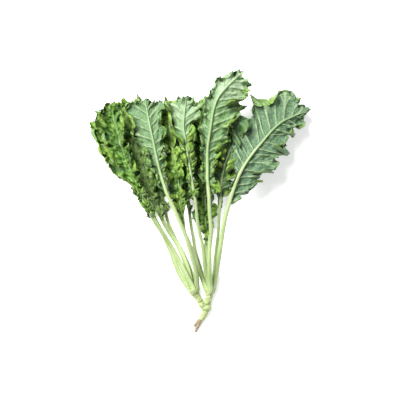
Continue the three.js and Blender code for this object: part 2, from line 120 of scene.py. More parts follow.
# %% [markdown]
# ## Words for the finishes
# Every finish is a small sum of noises and masks. Written node by node, such a sum is hard to read. So a
# socket is wrapped in a class that knows plus, minus, times and powers, and each sign adds its Math node.
# Colours go through Mix nodes, and every other node comes from one method.

# %% Shader words
class Reading:
    """A number that varies over a surface, as a socket that can be reckoned with."""

    def __init__(self, finish, socket):
        self.finish = finish
        self.socket = socket

    def sum(self, operation, *values):
        return self.finish.node("Math", {"operation": operation}, dict(enumerate(values)))

    def __add__(self, other):
        return self.sum("ADD", self, other)

    def __sub__(self, other):
        return self.sum("SUBTRACT", self, other)

    def __rsub__(self, other):
        return self.sum("SUBTRACT", other, self)

    def __mul__(self, other):
        return self.sum("MULTIPLY", self, other)

    def __abs__(self):
        return self.sum("ABSOLUTE", self)

    __radd__ = __add__
    __rmul__ = __mul__

    def between(self, low, high):
        """0 below low and 1 above high, with a soft step between them."""
        span = {"From Min": low, "From Max": high}
        settings = {"interpolation_type": "SMOOTHSTEP"}
        return self.finish.node("MapRange", settings, {"Value": self, **span})

    def or_(self, other):
        return self.sum("MAXIMUM", self, other)


BRIGHTNESS = 1.9  # the light falls this many times as bright as white paper needs


def tint(red, green, blue, brightness=BRIGHTNESS):
    """A colour given as it looks in this light, in a painter's 0 to 255, made linear for the shader."""
    share = [value / 255 for value in (red, green, blue)]
    linear = [v / 12.92 if v <= 0.04045 else ((v + 0.055) / 1.055) ** 2.4 for v in share]
    return [v / brightness for v in linear] + [1]


class Finish:
    """A material whose shader is fed node by node."""

    def __init__(self, name, **constants):
        self.material = bpy.data.materials.new(name)
        self.material.use_nodes = True
        self.tree = self.material.node_tree
        self.shader = self.tree.nodes["Principled BSDF"]
        for socket, value in constants.items():
            self.shader.inputs[socket.replace("_", " ")].default_value = value

    def node(self, kind, settings=None, sockets=None, output=0):
        made = self.tree.nodes.new("ShaderNode" + kind)
        for name, value in (settings or {}).items():
            setattr(made, name, value)
        for name, value in (sockets or {}).items():
            self.feed(made.inputs[name], value)
        return Reading(self, made.outputs[output])

    def feed(self, socket, value):
        if isinstance(value, Reading):
            self.tree.links.new(value.socket, socket)
        else:
            socket.default_value = value

    def mix(self, share, first, second):
        return self.node("Mix", {"data_type": "RGBA"}, {0: share, 6: first, 7: second}, output=2)

    def reads(self, name):
        return self.node("Attribute", {"attribute_name": name}, output=2)

    def noise(self, place, scale, detail=3, roughness=0.5):
        sockets = {"Vector": place, "Scale": scale, "Detail": detail, "Roughness": roughness}
        return self.node("TexNoise", None, sockets)

    def object_place(self):
        return self.node("TexCoord", None, None, output=3)

    def flat_place(self):
        return self.node("TexCoord", None, None, output=2)

    def complete(self, colour, height=None, depth=0.001, strength=1):
        """Feeds the shader with a colour, and with small bumps up to a depth in metres."""
        self.feed(self.shader.inputs["Base Color"], colour)
        if height:
            bump = self.node("Bump", None, {"Strength": strength, "Distance": depth, "Height": height})
            self.feed(self.shader.inputs["Normal"], bump)
        return self.material


paper = Finish("table_white", Roughness=0.9, Emission_Color=(1, 1, 1, 1), Emission_Strength=0.5)
grain = paper.noise(paper.object_place(), 300)
table.data.materials.append(paper.complete(paper.mix(grain, tint(246, 246, 247, 1), tint(250, 250, 250, 1))))
print("table:", table.active_material.name)

# %% [markdown]
# ## The leaves' driving sizes
# These are the sizes that the solids were built from, in millimetres and degrees. Fitting curves to the
# solids would lose the leaves' own directions, so the same few lines are written again: where each midrib
# runs, how long the side veins are, and how strongly the blade folds and curls.
#
# A few words are for the finer blades alone. folds holds the stretches where the margin lies folded back
# over the blade: the side, 1 for left and -1 for right, and the shares of the blade's length between which
# it does. fold_from says how far out a fold begins. One word makes a leaf yellower, and on some lower leaves
# it also stands as painted light where the leaves above shade them. Another one is painted light alone: a
# painted highlight towards the tip of a leaf that lies turned, and painted light over the lower blade of the
# others. shade makes a leaf bluer than the others, and blunt is the share of what reaches past the tip that
# is taken back.

# %% The leaves' sizes
BLADE_SEAT = 1.0  # from a stalk's flat side to the middle of its blade
STALK_TAPER = 0.68
FOOT_SWEEP, SHOULDER_SWEEP, TIP_SWEEP = 26, 46, 90
SHOULDER = 0.93
LONG_WAVE, LONG_SWING = 44, 36
SHORT_WAVE, SHORT_SWING = 21, 32
CURL_WAVE, CURL_SWING = 15, 34
FOLD = 0.08
SPREAD, EVENNESS = 0.84, 0.72
LOBE_WAVE, LOBE_DEPTH = 31, 0.13
ROW_PITCH = 10.5
HALF_WIDTH_SHARE = math.sin(math.pi / 3)

LEAVES = [
    dict(name="leaf_09", width=5, blade=204, cup=10, frill=0.9, phase=2.4, turned=False,
         left=[5, 18, 25, 27, 29, 5], right=[5, 18, 26, 29, 30, 5],
         route=[(13, -123), (10.4, -97), (8, -71), (8, -48), (6, -24), (6, 1), (6, 27), (6, 50), (5, 74),
                (4, 99), (1, 121), (-2, 144)]),
    dict(name="leaf_01", width=6, blade=182, cup=14, frill=1, phase=4.8, turned=False, yellow_and_painted_light=0.35,
         left=[12, 4, 7, 25, 34, 6], right=[4, 8, 24, 34, 38, 5],
         route=[(-14.6, -125), (-29, -104), (-44, -67), (-59, -35), (-76, -7), (-94, 20), (-111, 43),
                (-124, 69), (-131, 94), (-137, 126)]),
    dict(name="leaf_04", width=5, blade=174, cup=10, frill=0.9, phase=0.9, turned=False, yellow_and_painted_light=0.3, pale=0.9,
         left=[6, 13, 22, 28, 28, 6], right=[6, 10, 18, 24, 26, 5],
         route=[(-8, -124), (-13, -101), (-23, -77), (-36, -52), (-46, -28), (-52, -3), (-59, 22), (-68, 50),
                (-76, 78), (-83, 108), (-87, 132), (-88, 151)]),
    dict(name="leaf_07", width=4.6, blade=161, cup=12, frill=0.9, phase=3.3, turned=False,
         left=[4, 14, 20, 24, 30, 6], right=[4, 14, 20, 24, 28, 6],
         route=[(7.6, -123), (0.8, -97), (-7, -71), (-10, -52), (-13, -34), (-16, -10), (-20, 13), (-24, 36),
                (-29, 60), (-33, 85), (-34, 112), (-33, 142)]),
    dict(name="leaf_11", width=4.8, blade=136, cup=12, frill=0.9, phase=5.7, turned=True,
         folds=[(1, -0.2, 0.9), (-1, -0.2, 0.9)], fold_from=0.5,
         left=[4, 16, 24, 27, 26, 5], right=[5, 14, 24, 26, 23, 5],
         route=[(18, -123), (20.4, -94), (23, -66), (26, -38), (27, -13), (29, 8), (30, 29), (34, 50),
                (41, 69), (48, 85), (54, 99), (61, 119)]),
    dict(name="leaf_03", width=6.4, blade=177, cup=12, frill=1, phase=1.8, turned=False, yellow_and_painted_light=0.5, pale=1.0,
         left=[5, 11, 24, 33, 38, 6], right=[9, 7, 20, 28, 36, 6],
         route=[(-12.2, -124), (-18.4, -94), (-31, -63), (-47, -38), (-58, -17), (-66, 4), (-75, 28),
                (-83, 53), (-90, 77), (-99, 104), (-104, 124), (-109, 143)]),
    dict(name="leaf_06", width=4.8, blade=183, cup=10, frill=0.85, phase=4.2, turned=False, yellow_and_painted_light=0.6,
         left=[7, 20, 24, 20, 26, 5], right=[4, 11, 17, 18, 26, 5],
         route=[(7.4, -123), (-1, -99), (-8, -77), (-15, -59), (-22, -41), (-24, -24), (-27, -6), (-30, 15),
                (-33, 41), (-37, 64), (-41, 90), (-44, 114), (-48, 145)]),
    dict(name="leaf_12", width=6.4, blade=178, cup=9, frill=0.62, phase=0.3, turned=True, blunt=0.1, shade=1.0,
         folds=[(1, 0.3, 0.5), (-1, 0.22, 0.34), (-1, 0.5, 0.6)],
         left=[3, 8, 56, 66, 50, 11], right=[22, 42, 50, 44, 27, 11],
         route=[(18.6, -123), (23, -97), (27.4, -69), (31.4, -43), (35.4, -21), (41, 0), (47.4, 20),
                (55, 39), (65, 56), (76, 71), (88, 85), (100, 99), (114, 111), (130, 119), (147, 126)]),
    dict(name="leaf_02", width=6.6, blade=168, cup=12, frill=1, phase=2.7, turned=False,
         left=[9, 7, 22, 32, 38, 6], right=[4, 8, 14, 18, 22, 5],
         route=[(-11.4, -122.5), (-29, -86), (-48, -52), (-65, -25), (-76, -3), (-88, 21), (-97, 43),
                (-107, 69), (-114, 95), (-120, 116), (-125, 136)]),
    dict(name="leaf_08", width=5, blade=168, cup=12, frill=0.75, phase=5.1, turned=True, pale=0.6,
         folds=[(1, -0.2, 0.7), (-1, -0.2, 0.7)], fold_from=0.5,
         left=[3, 5, 7, 12, 36, 8], right=[3, 6, 9, 16, 36, 8],
         route=[(12.6, -123), (9, -104), (6, -85), (4, -66), (-1, -43), (-4, -27), (-6, -6), (-9, 15),
                (-12, 32), (-15, 50), (-18, 69), (-20, 85), (-23, 102), (-22, 119), (-19, 145)]),
    dict(name="leaf_05", width=6.2, blade=141, cup=10, frill=0.6, phase=1.2, turned=True, shade=0.4,
         folds=[(1, -0.2, 0.58), (-1, -0.2, 0.62)],
         left=[4, 7, 15, 36, 42, 6], right=[3, 6, 12, 27, 34, 6],
         route=[(-5, -124), (-5.8, -99), (-12, -76), (-20, -48), (-29, -27), (-37, -8), (-46, 11), (-52, 29),
                (-57, 46), (-61, 64), (-65, 84), (-69, 102), (-73, 122), (-76, 141)]),
    dict(name="leaf_10", width=5.8, blade=192, cup=14, frill=0.75, phase=3.6, turned=True, pale=1.0,
         folds=[(1, -0.2, 0.3), (-1, -0.2, 0.42), (-1, 0.6, 0.72)],
         left=[4, 12, 19, 21, 23, 9], right=[5, 17, 36, 56, 42, 7],
         route=[(14, -123), (13, -97), (13, -69), (15, -41), (13, -15), (12, 8), (10, 29), (10, 50),
                (10, 71), (12, 88), (15, 106), (18, 125), (24, 142), (34, 155), (46, 167), (59, 179)]),
]
print("leaves:", len(LEAVES))

# %% [markdown]
# ## Where a midrib runs
# In plan a midrib is a smooth curve through its route's points. Its height comes from the pile: the solids
# were laid on one another, so the height is measured on the solid stalk, ring by ring, and then eased so
# that the finer stalk bends without corners.

# %% Midribs
def ease(value, low, high):
    """0 below low and 1 above high, with a soft step between them."""
    share = np.clip((value - low) / (high - low), 0, 1)
    return share * share * (3 - 2 * share)


def smooth_curve(points):
    """Places a short step apart on a centripetal curve through the points."""
    knots = np.array(points, float)
    knots = np.vstack([2 * knots[0] - knots[1], knots, 2 * knots[-1] - knots[-2]])
    gaps = np.linalg.norm(np.diff(knots, axis=0), axis=1) ** 0.5
    part = np.linspace(0, 1, 40, endpoint=False)[:, None]
    places = []
    for i in range(1, len(knots) - 2):
        a, b, c, d = knots[i - 1:i + 3]
        before, here, after = gaps[i - 1:i + 2]
        leave = ((b - a) / before - (c - a) / (before + here) + (c - b) / here) * here
        arrive = ((c - b) / here - (d - b) / (here + after) + (d - c) / after) * here
        bend = 3 * (c - b) - 2 * leave - arrive
        turn = 2 * (b - c) + leave + arrive
        places.append(b + leave * part + bend * part ** 2 + turn * part ** 3)
    return np.vstack([*places, knots[-2:-1]])


class Route:
    """A curve that can be asked for its place and direction at a distance from its start."""

    def __init__(self, points):
        self.places = smooth_curve(points)
        steps = np.linalg.norm(np.diff(self.places, axis=0), axis=1)
        self.distances = np.concatenate([[0], np.cumsum(steps)])
        self.length = self.distances[-1]

    def at(self, distance):
        return np.stack([np.interp(distance, self.distances, column) for column in self.places.T], axis=-1)

    def along(self, distance):
        ahead = self.at(np.minimum(distance + 0.5, self.length)) - self.at(np.maximum(distance - 0.5, 0))
        return ahead / np.linalg.norm(ahead, axis=-1, keepdims=True)


def left_of(along):
    return np.stack([-along[..., 1], along[..., 0]], axis=-1)


def stalk_radius(leaf, distance):
    return leaf["width"] * (1 - STALK_TAPER * distance / leaf["plan"].length) / 2 / HALF_WIDTH_SHARE


def ring_distances(leaf):
    """Where the solid stalk has its rings."""
    length, blade = leaf["plan"].length, leaf["blade"]
    rows = 2 * round(blade / (2 * ROW_PITCH))
    bare = round((length - blade) / (2 * ROW_PITCH))
    petiole = [(length - blade) * k / bare for k in range(bare)]
    return petiole + [length - blade * (1 - k / rows) for k in [*range(0, rows, 2), rows - 1]]


def solid_places(node):
    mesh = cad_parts[node].data
    places = np.empty(len(mesh.vertices) * 3)
    mesh.vertices.foreach_get("co", places)
    return places.reshape(-1, 3) / MM


def measure_lift(leaf):
    """The shift of the solid stalk from its route, and the height of its middle at each ring."""
    places = solid_places(leaf["name"] + "_stalk")
    plan = leaf["plan"]
    ends = (places[:, :2] - plan.at(0.0)) @ plan.along(0.0)
    shift = places[ends < ends.min() + 1, :2].mean(0) - plan.at(0.0)
    rings = ring_distances(leaf)
    heights = []
    for distance in rings:
        aside = places[:, :2] - shift - plan.at(distance)
        along = plan.along(distance)
        near = (abs(aside @ along) < 1) & (abs(aside @ left_of(along)) < stalk_radius(leaf, distance) + 0.5)
        low, high = places[near, 2].min(), places[near, 2].max()
        heights.append((2 * low + high) / 3 if leaf["turned"] else (low + 2 * high) / 3)
    return shift, rings, heights


STEP = 1.0
BEYOND = 30  # heights are carried on this far past both ends
EASED_OVER = 9  # so many steps are averaged, and twice
for number, leaf in enumerate(LEAVES):
    leaf["seed"] = 100 * (number + 1)
    leaf["plan"] = Route(leaf["route"])
    leaf["shift"], rings, heights = measure_lift(leaf)
    stations = np.arange(-BEYOND, leaf["plan"].length + BEYOND, STEP)
    eased = np.interp(stations, rings, heights)
    for _ in range(2):
        padded = np.pad(eased, EASED_OVER // 2, mode="edge")
        eased = np.convolve(padded, np.ones(EASED_OVER) / EASED_OVER, mode="valid")
    leaf["lift"] = (stations, eased)
    print(leaf["name"], "length", round(leaf["plan"].length, 1), "shift", leaf["shift"].round(2),
          "heights", round(min(heights), 1), "to", round(max(heights), 1))


def lift_of(leaf, distance):
    return np.interp(distance, *leaf["lift"])


# %% [markdown]
# ## The blade's form
# Each half of a blade is ruled by its side veins: a vein leaves the midrib forwards and bends up and down
# on its way out. Curly kale grows more margin than its middle has room for, so the margin folds into waves,
# and those into smaller ones. The solids carry the three largest waves and the rolled margin. The same sum
# goes on here with smaller waves. Each is led astray a little, so that no curl runs straight inwards, and
# the veins' lengths give every curl a round lobe of its own. Where a leaf has lain down on its own margin,
# the margin folds back over the blade. Puckers rise between the veins, and soft random rumples loosen it
# all. A cloth simulation or a sculpted ruffle would drift away from the solids. A sum stays where they are.

# %% Waves of the margin
CRIMP_WAVE = 7
FINE_WAVES = ((CURL_WAVE, 48), (CRIMP_WAVE, 84), (3.4, 66))  # how long, and how far it bends a vein
TURNED_SWING = 1.35  # the fine waves' greater swing on leaves that lie turned
EDGE_SWING = -1.4  # the share of a fine wave's bend that the very edge bends back
LOBES = ((CURL_WAVE, 0.16), (CRIMP_WAVE, 0.06))
MEAN_ROUND = 0.78  # the mean of a lobe's outline
RAGGED = 6.5
VEIN_PITCH = 12.0
FORK_SPREAD = 0.29  # how far a vein's forks leave it, in vein pitches
FOOT_SHARE = 0.035
ROLL_START = 0.76
FOLD_FROM = 0.6


def wave(distance, length, phase):
    return np.sin(2 * math.pi * distance / length + phase)


def rumple(across, along, seed):
    """Smooth random heights from -1 to 1 whose bumps are a unit apart."""
    heights = np.random.default_rng(seed).uniform(-1, 1, (64, 64))
    column, row = np.floor(across).astype(int), np.floor(along).astype(int)
    right, up = ease(across - column, 0, 1), ease(along - row, 0, 1)

    def height(i, j):
        return heights[(column + i) % 64, (row + j) % 64]

    near = height(0, 0) * (1 - right) + height(1, 0) * right
    far = height(0, 1) * (1 - right) + height(1, 1) * right
    return near * (1 - up) + far * up


def margin_of(leaf, share, side):
    """A place along the margin, from the tip back. It is positive on the left side."""
    return side * (1 - share) * leaf["blade"]


def rumple_over(leaf, inwards, margin, side, pitches, number):
    """Random heights over a blade, whose left and right halves differ."""
    return rumple(inwards / pitches[0] + 9 * side, margin / pitches[1], leaf["seed"] + number)


def lobe_angle(leaf, margin, pitch):
    """A lobe of the margin spans from 0 to 2 pi. Lobes differ in width."""
    phase = leaf["phase"]
    uneven = 0.18 * wave(margin, 2.5 * pitch, 1.3 * phase) + 0.12 * wave(margin, 1.6 * pitch, 2.9 * phase)
    return 2 * math.pi * (margin + pitch * uneven) / pitch + phase * 3.1


def rounded(angle):
    """A lobe's outline: 0 in the notches, and a round top of 1 between them."""
    return np.sqrt(np.clip(1 - np.cos(angle / 2) ** 4, 0, 1))


def flap_of(leaf, share, side):
    """Where the margin lies folded back over the blade, from 0 to 1: between two shares on one side."""
    flap = 0 * share
    for way, low, high in leaf.get("folds", ()):
        stretch = ease(share, low - 0.06, low + 0.06) * (1 - ease(share, high - 0.06, high + 0.06))
        flap = np.maximum(flap, stretch * (side == way))
    return flap


def roll_of(leaf, share, side):
    """How far the margin is rolled up here, from 0 to 1. It is rolled in some stretches and not in others."""
    margin = margin_of(leaf, share, side)
    low = -0.35 if leaf["turned"] else 0.1
    place = 0.6 * wave(margin, 47, 1.9 * leaf["phase"]) + 0.4 * wave(margin, 29, 0.8 * leaf["phase"])
    stretch = np.maximum(ease(place, low, low + 0.5), flap_of(leaf, share, side))
    return stretch * ease(share, 0.05, 0.2) * ease(1 - share, 0.02, 0.1)


def roll_start(leaf, flap):
    """How far out along a side vein the margin starts to roll up or, where it is a flap, to fold back."""
    return ROLL_START + (leaf.get("fold_from", FOLD_FROM) - ROLL_START) * flap


def plain_length(leaf, share, side):
    """A side vein's length before the margin's lobes."""
    def between(lengths):
        place = share * (len(lengths) - 1)
        step = np.minimum(place.astype(int), len(lengths) - 2)
        part = ease(place - step, 0, 1)
        lengths = np.array(lengths, float)
        return lengths[step] * (1 - part) + lengths[step + 1] * part

    return np.where(side > 0, between(leaf["left"]), between(leaf["right"]))


def vein_length(leaf, share, side):
    margin = margin_of(leaf, share, side)
    lobes = 1 + LOBE_DEPTH * wave(margin, LOBE_WAVE, leaf["phase"] * 1.7)
    for pitch, depth in LOBES:
        lobes = lobes + depth * (rounded(lobe_angle(leaf, margin, pitch)) - MEAN_ROUND)
    plain = plain_length(leaf, share, side)
    ragged = rumple(margin / RAGGED, 0 * margin, leaf["seed"] + 8) * (1 - ease(share, 0.25, 0.6))
    foot = np.sqrt(np.clip(share / FOOT_SHARE, 0, 1))
    return foot * (lobes * plain + ragged * np.minimum(0.75 * plain, RAGGED))


def vein_count(leaf, share, side):
    """How many side veins lie between here and the foot of the blade. Left and right ones alternate."""
    return share * leaf["blade"] / VEIN_PITCH + np.where(side > 0, 0.0, 0.5)


def to_vein(count):
    """How far it is to the nearest side vein, in vein pitches."""
    return abs(count - np.round(count))


def fork_gap(reach):
    """How far a vein's forks have left it, in vein pitches."""
    return FORK_SPREAD * ease(reach, 0.25, 1)


def wandering(leaf, share, side, reach):
    """A spot's place along the margin, led astray a little, so that no curl runs straight inwards."""
    margin = margin_of(leaf, share, side)
    inwards = reach * plain_length(leaf, share, side)
    broad = rumple_over(leaf, inwards, margin, side, (9, 12), 9)
    fine = rumple_over(leaf, inwards, margin, side, (4.5, 6), 10)
    return margin + 5 * broad + 2 * fine


def margin_waves(leaf, share, side, reach):
    """The waves of one spot: how far each bends a vein, where along the vein, and its height from -1 to 1.
    A small wave lives in a narrow strip along the margin, and bends back at the very edge."""
    phase = leaf["phase"]
    margin = margin_of(leaf, share, side)
    astray = wandering(leaf, share, side, reach)
    lively = 0.85 + 0.5 * rumple(margin / 22, 0 * margin, leaf["seed"] + 2)
    length = np.maximum(plain_length(leaf, share, side), 4)

    def strip(pitch):
        return np.maximum(1 - 1.3 * pitch / length, 0.02), np.maximum(1 - 0.5 * pitch / length, 0.4)

    curl = -(0.9 + 0.4 * wave(margin, 61, 0.7 * phase)) * np.cos(lobe_angle(leaf, astray, CURL_WAVE))
    waves = [
        (LONG_SWING, 0.1, 0.9, wave(margin, LONG_WAVE, phase)),
        (SHORT_SWING, 0.5, 1.0, wave(margin, SHORT_WAVE, phase * 2.3)),
        (CURL_SWING, *strip(CURL_WAVE), curl),
    ]
    for pitch, swing in FINE_WAVES:
        swing = TURNED_SWING * swing if leaf["turned"] else swing
        height = -lively * np.cos(lobe_angle(leaf, astray, pitch))
        waves.append((swing, *strip(pitch), height))
        waves.append((EDGE_SWING * swing, np.maximum(1 - 0.4 * pitch / length, 0.5), 1.0, height))
    return waves


def crest_of(leaf, share, across):
    """Where the blade's surface is a crest, 1, or a hollow, -1."""
    side = np.where(across < 0, -1.0, 1.0)
    reach = abs(across)
    total = 0
    for swing, low, high, height in margin_waves(leaf, share, side, reach):
        total = total + abs(swing) / 110 * ease(reach, low, high) * height
    start = roll_start(leaf, flap_of(leaf, share, side))
    total = total + 0.7 * roll_of(leaf, share, side) * ease(reach, start, start + 0.08)
    return np.clip(total, -1, 1)


halfway, left_side = np.array([0.5]), np.array([1.0])
print("waves of a margin:", len(margin_waves(LEAVES[0], halfway, left_side, 1.0)))

# %% Blade form
BEND_STEPS = 48
ROLL_RADIUS, ROLL_TURN = 2.2, 3.3  # a roll turns a little more than half round, and then lies flat
FOLD_REACH = 0.94  # where a flap's fold lies, as a share of the vein's length on a flat blade
OVERHANG, LOOP = 0.1, 0.09  # how far a curl leans over along the margin, in wavelengths
LOBE_SWEEP = math.radians(8)  # lobes point outwards, and hardly forwards as the veins do
BLUNT = 0.8
FLOOR_EASE, LOWEST = 1.5, 0.3  # below the first height a blade is lifted, at least to the second
CEILING_EASE, OVERSHOOT = 4, 5  # from so far below the pile's top, curls flatten within the second height
HIGHEST = cad_bounds[1][2] / MM


def bend_along(leaf, reach, waves):
    """How far out and up a side vein has gone at a reach, as shares of its length, and its slope there."""
    cup = -leaf["cup"] if leaf["turned"] else leaf["cup"]

    def slope_at(part):
        swings = [leaf["frill"] * swing * ease(part, low, high) * w for swing, low, high, w in waves]
        return np.radians(cup + sum(swings))

    out, rise = 0, 0
    for i in range(BEND_STEPS):
        slope = slope_at((i + 0.5) / BEND_STEPS * reach)
        out = out + np.cos(slope) / BEND_STEPS
        rise = rise + np.sin(slope) / BEND_STEPS
    return out + (SPREAD - out) * EVENNESS, rise, slope_at(reach)


def roll_up(leaf, share, side, reach, out, rise):
    """The vein's full length, and how far out and up it has gone in millimetres with its margin rolled up."""
    roll = roll_of(leaf, share, side)
    flap = flap_of(leaf, share, side)
    longer = (1 - ROLL_START) * (1 - flap) + (FOLD_REACH / leaf.get("fold_from", FOLD_FROM) - 1) * flap
    full = np.maximum(vein_length(leaf, share, side), 0.1) * (1 + roll * longer)
    rolled = np.maximum(reach - roll_start(leaf, flap), 0) * full
    radius = np.clip(0.13 * plain_length(leaf, share, side), 0.6, ROLL_RADIUS)
    turn = np.minimum(rolled / radius, ROLL_TURN)
    back = 0.85 * np.maximum(rolled - radius * ROLL_TURN, 0)
    out = out * reach * full - roll * (rolled * SPREAD - radius * np.sin(turn) + back)
    rise = rise * reach * full + roll * (radius * (1 - np.cos(turn)) - 0.15 * back)
    return full, out, rise


def lean_of(leaf, share, side, reach, full):
    """How far the crests of the waves lean over along the margin."""
    margin = margin_of(leaf, share, side)
    lean = leaf["frill"] * FOLD * LONG_WAVE * ease(reach, 0.3, 1)
    lean = lean * wave(2 * margin, LONG_WAVE, 2 * leaf["phase"])
    for pitch in (CURL_WAVE, CRIMP_WAVE):
        start = np.maximum(1 - 1.3 * pitch / np.maximum(full, 4), 0)
        angle = lobe_angle(leaf, wandering(leaf, share, side, reach), pitch)
        loop = OVERHANG * np.sin(angle) - LOOP * np.sin(2 * angle)
        lean = lean + side * pitch * ease(reach, start, 1) * loop
    return lean


def puckers(leaf, share, side, reach, length):
    """How far the blade is pushed up between its veins. Puckers point to the leaf's upper side."""
    margin = margin_of(leaf, share, side)
    count = vein_count(leaf, share, side)
    off_vein = to_vein(count) * VEIN_PITCH
    off_fork = abs(to_vein(count) - fork_gap(reach)) * VEIN_PITCH
    puff = 1.5 * (1 - np.exp(-((off_vein / 2.2) ** 2))) + 0.8 * (1 - np.exp(-((off_fork / 1.3) ** 2))) - 1.1
    crinkle, near_midrib = (1.9, 8) if leaf["turned"] else (5, 3.5)
    puff = puff + crinkle * rumple_over(leaf, length, margin, side, (8, 8), 3)
    puff = puff + 0.5 * crinkle * rumple_over(leaf, length, margin, side, (3.6, 3.6), 4)
    puff = puff * ease(length, 0.5, near_midrib) * (1 - 0.5 * ease(reach, 0.8, 1))
    return -puff if leaf["turned"] else puff


def within_pile(height):
    """A height, eased so that no curl sinks into the table or rises above the pile."""
    height = np.where(height < FLOOR_EASE, LOWEST + 1.2 * np.exp((height - FLOOR_EASE) / 1.2), height)
    top = HIGHEST - CEILING_EASE
    return np.where(height > top, top + OVERSHOOT * np.tanh((height - top) / OVERSHOOT), height)


def blade_places(leaf, share, across):
    """Places on the middle of a blade. share runs from its foot to its tip, and across from the right
    margin, -1, over the midrib to the left one, 1."""
    plan = leaf["plan"]
    side = np.where(across < 0, -1.0, 1.0)
    side = np.where(share > 1 - 1e-6, 1.0, side)  # so that both halves meet at the tip
    reach = abs(across)
    margin = margin_of(leaf, share, side)
    plain = plain_length(leaf, share, side)
    out, rise, slope = bend_along(leaf, reach, margin_waves(leaf, share, side, reach))
    full, out, rise = roll_up(leaf, share, side, reach, out, rise)
    sweep = np.where(share < SHOULDER,
                     FOOT_SWEEP + (SHOULDER_SWEEP - FOOT_SWEEP) * share / SHOULDER,
                     SHOULDER_SWEEP + (TIP_SWEEP - SHOULDER_SWEEP) * (share - SHOULDER) / (1 - SHOULDER))
    sweep = np.radians(sweep)
    lobe = out * (1 - plain / full) * (1 - ease(share, SHOULDER, 1))
    forward = (out - lobe) * np.sin(sweep) + lobe * math.sin(LOBE_SWEEP)
    forward = forward + lean_of(leaf, share, side, reach, full)
    aside = side * ((out - lobe) * np.cos(sweep) + lobe * math.cos(LOBE_SWEEP))

    loose = 0 if leaf["turned"] else 3.5 * ease(reach, 0.3, 1)
    inwards = reach * plain
    forward = forward + loose * rumple_over(leaf, inwards, margin, side, (10, 10), 12)
    aside = aside + 0.8 * loose * rumple_over(leaf, inwards, margin, side, (10, 10), 11)

    puff = puckers(leaf, share, side, reach, reach * full)
    forward = forward - puff * np.sin(slope) * np.sin(sweep)
    aside = aside - side * puff * np.sin(slope) * np.cos(sweep)

    distance = plan.length - leaf["blade"] * (1 - share)
    forward = forward - leaf.get("blunt", BLUNT) * np.maximum(distance + forward - plan.length, 0)
    beside = np.minimum(distance + forward, plan.length)
    seat = stalk_radius(leaf, beside) / 2 + BLADE_SEAT
    along = plan.along(distance)
    flat = plan.at(distance) + along * forward[..., None] + left_of(along) * aside[..., None]
    height = rise + puff * np.cos(slope) + (-seat if leaf["turned"] else seat) + lift_of(leaf, beside)
    return np.concatenate([flat + leaf["shift"], within_pile(height)[..., None]], axis=-1) * MM


tip = blade_places(LEAVES[0], np.array([1.0]), np.array([0.0]))
print("tip of the lowest leaf:", tip.round(3))

# %% [markdown]
# ## Blades
# A blade is a thin sheet, so it starts as a flat grid. The grid is modelled once, with its columns drawn
# together towards the margins, where the curls are finest. Each leaf takes a copy, moves its points on to the
# blade's form, closes the tip and gets half a millimetre of thickness from Solidify. A subdivided plane with
# a displacement texture could not follow the veins. Each point also remembers where it lies on the leaf, so
# that the finish can draw the veins.

# %% One grid for all blades
ROWS, COLUMNS = 236, 60
DRAWN_OUT = 1.45  # how strongly the columns are drawn to the margins
BLADE_THICKNESS = 0.5 * MM

deselect()
bpy.ops.mesh.primitive_grid_add(x_subdivisions=COLUMNS, y_subdivisions=ROWS, size=2)
grid = bpy.context.object
grid.name = "blade_grid"


def places_of(piece):
    places = np.empty(len(piece.data.vertices) * 3)
    piece.data.vertices.foreach_get("co", places)
    return places.reshape(-1, 3)


def move_places(piece, places):
    piece.data.vertices.foreach_set("co", np.ascontiguousarray(places, np.float32).ravel())
    piece.data.update()


def copy_of(pattern, name):
    piece = pattern.copy()
    piece.data = pattern.data.copy()
    piece.name = piece.data.name = name
    bpy.context.scene.collection.objects.link(piece)
    return piece


def choose(piece):
    deselect()
    piece.select_set(True)
    bpy.context.view_layer.objects.active = piece


def remember(piece, name, values):
    layer = piece.data.attributes.new(name, "FLOAT", "POINT")
    layer.data.foreach_set("value", np.ascontiguousarray(values, np.float32))


print("grid points:", len(grid.data.vertices))

# %% Shape each blade
def set_flat_map(piece, across, along):
    """A UV map in centimetres on the piece's own surface."""
    mesh = piece.data
    corners = np.empty(len(mesh.loops), np.int32)
    mesh.loops.foreach_get("vertex_index", corners)
    flat = np.stack([across[corners], along[corners]], axis=1)
    mesh.uv_layers[0].data.foreach_set("uv", np.ascontiguousarray(flat, np.float32).ravel())


